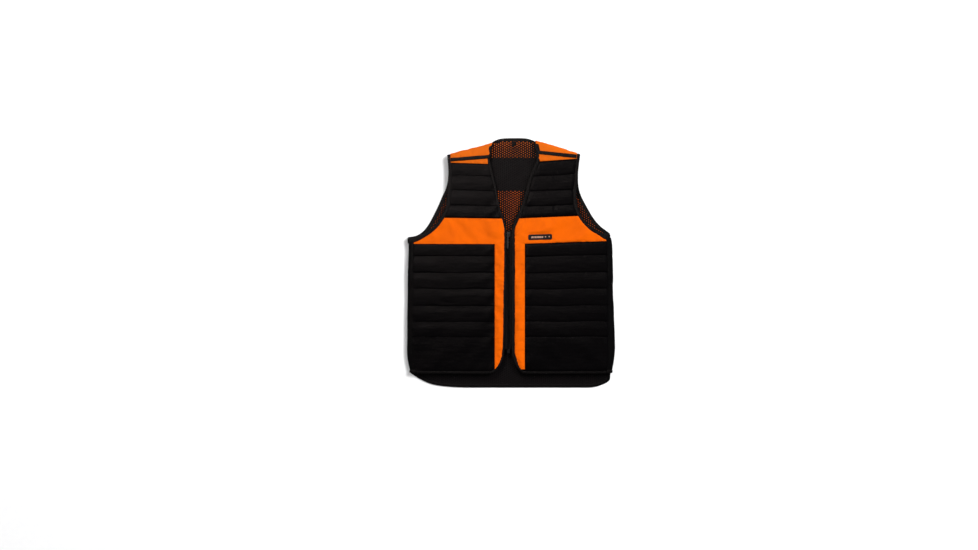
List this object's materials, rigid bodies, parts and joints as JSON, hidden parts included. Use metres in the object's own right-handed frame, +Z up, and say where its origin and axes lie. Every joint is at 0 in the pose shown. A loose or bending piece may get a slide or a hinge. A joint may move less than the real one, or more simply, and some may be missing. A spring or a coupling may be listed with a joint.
{
  "type": "safety vest",
  "caption": "Zip-front sleeveless hunting vest lying flat, black quilted panels with blaze orange yoke, chest band and front strips.",
  "frame": {"origin": "on the ground under the middle of the vest's outline", "axes": "+X towards the wearer's left, +Y from the hem to the neck, +Z up out of the front of the vest"},
  "size_m": [0.612, 0.7295, 0.0241],
  "materials": {
    "black_fabric": "quilted matt weave",
    "orange_fabric": "blaze orange plain weave",
    "black_mesh": "open knitted mesh",
    "black_tape": "ribbed binding tape",
    "wadding": "polyester wadding",
    "zip_plastic": "moulded black",
    "zip_metal": "black enamel"
  },
  "bodies": {
    "vest_back": {"back_yoke": "orange_fabric", "back_upper_panel": "black_fabric", "back_band": "orange_fabric", "back_lower_panel": "black_fabric", "back_lining": "black_mesh", "neck_binding": "black_tape", "back_hem_binding": "black_tape", "left_armhole_binding_back": "black_tape", "left_armhole_binding_front": "black_tape", "left_side_gusset": "black_fabric", "left_shoulder_fold": "orange_fabric", "left_shoulder_stripe": "black_tape", "left_front_shoulder_piece": "orange_fabric", "left_shoulder_neck_binding": "black_tape", "left_chest_panel_side": "black_fabric", "left_chest_band_side": "orange_fabric", "left_lower_panel_side": "black_fabric", "left_front_wadding_side": "wadding", "left_front_lining_side": "black_mesh", "left_hem_binding_side": "black_tape", "right_armhole_binding_back": "black_tape", "right_armhole_binding_front": "black_tape", "right_side_gusset": "black_fabric", "right_shoulder_fold": "orange_fabric", "right_shoulder_stripe": "black_tape", "right_front_shoulder_piece": "orange_fabric", "right_shoulder_neck_binding": "black_tape", "right_chest_panel_side": "black_fabric", "right_chest_band_side": "orange_fabric", "right_lower_panel_side": "black_fabric", "right_front_wadding_side": "wadding", "right_front_lining_side": "black_mesh", "right_hem_binding_side": "black_tape"},
    "left_front": {"left_chest_panel_flap": "black_fabric", "left_chest_band_flap": "orange_fabric", "left_front_strip": "orange_fabric", "left_lower_panel_flap": "black_fabric", "left_front_wadding_flap": "wadding", "left_front_lining_flap": "black_mesh", "left_edge_binding": "black_tape", "left_zip_tape": "black_tape", "left_zip_teeth": "zip_plastic", "left_top_stop": "zip_plastic", "insertion_pin": "zip_plastic", "label_patch": "black_tape"},
    "right_front": {"right_chest_panel_flap": "black_fabric", "right_chest_band_flap": "orange_fabric", "right_front_strip": "orange_fabric", "right_lower_panel_flap": "black_fabric", "right_front_wadding_flap": "wadding", "right_front_lining_flap": "black_mesh", "right_edge_binding": "black_tape", "right_zip_tape": "black_tape", "right_zip_teeth": "zip_plastic", "right_top_stop": "zip_plastic", "retaining_box": "zip_plastic"},
    "zip_slider": {"slider_body": "zip_metal"},
    "zip_pull": {"pull_tab": "zip_metal"},
    "neck_loop": {"hang_loop": "black_tape"}
  },
  "joints": [
    {"name": "right_front_fold", "type": "hinge", "parent": "vest_back", "child": "right_front", "pos_m": [-0.16095, -0.0155, 0.0255], "axis": [-0.2823, -0.9593, 0], "range_deg": [0, 160]},
    {"name": "left_front_fold", "type": "hinge", "parent": "vest_back", "child": "left_front", "pos_m": [0.1687, -0.0155, 0.0255], "axis": [-0.2602, 0.9656, 0], "range_deg": [0, 160]},
    {"name": "zip_slide", "type": "slide", "parent": "right_front", "child": "zip_slider", "axis": [0, -1, 0], "range_m": [0, 0.33]},
    {"name": "pull_tab_turn", "type": "hinge", "parent": "zip_slider", "child": "zip_pull", "pos_m": [-0.0075, 0.0812, 0.0198], "axis": [-1, 0, 0], "range_deg": [0, 160]},
    {"name": "hang_loop_turn", "type": "hinge", "parent": "vest_back", "child": "neck_loop", "pos_m": [0.008, 0.3541, 0.0054], "axis": [-1, 0, 0], "range_deg": [0, 120]}
  ]
}
